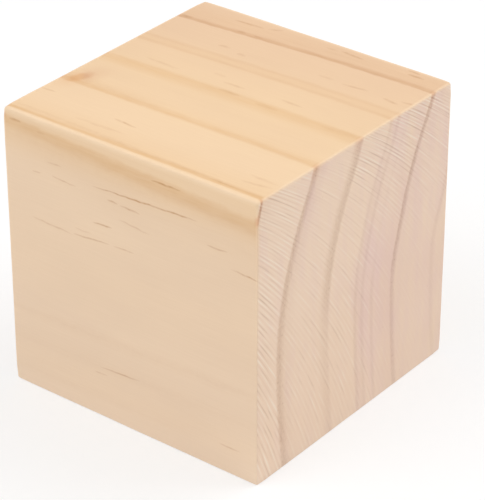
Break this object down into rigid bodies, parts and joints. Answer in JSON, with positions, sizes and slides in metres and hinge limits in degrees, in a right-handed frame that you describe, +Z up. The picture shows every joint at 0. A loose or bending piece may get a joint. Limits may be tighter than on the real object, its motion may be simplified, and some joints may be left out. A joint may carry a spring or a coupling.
{
  "type": "wooden cube",
  "caption": "Solid softwood cube with four planed faces, sawn end grain on the other two and lightly eased edges, for craft and bench use.",
  "frame": {"origin": "centre of the bottom face", "axes": "+X along the grain towards a sawn end, +Y across the grain towards the back, +Z up out of the top face"},
  "size_m": [0.08, 0.08, 0.08],
  "materials": {
    "pine": "bare pine, planed on the four side faces and sawn on the two ends"
  },
  "bodies": {
    "root": {"wooden_cube": "pine"}
  },
  "joints": []
}
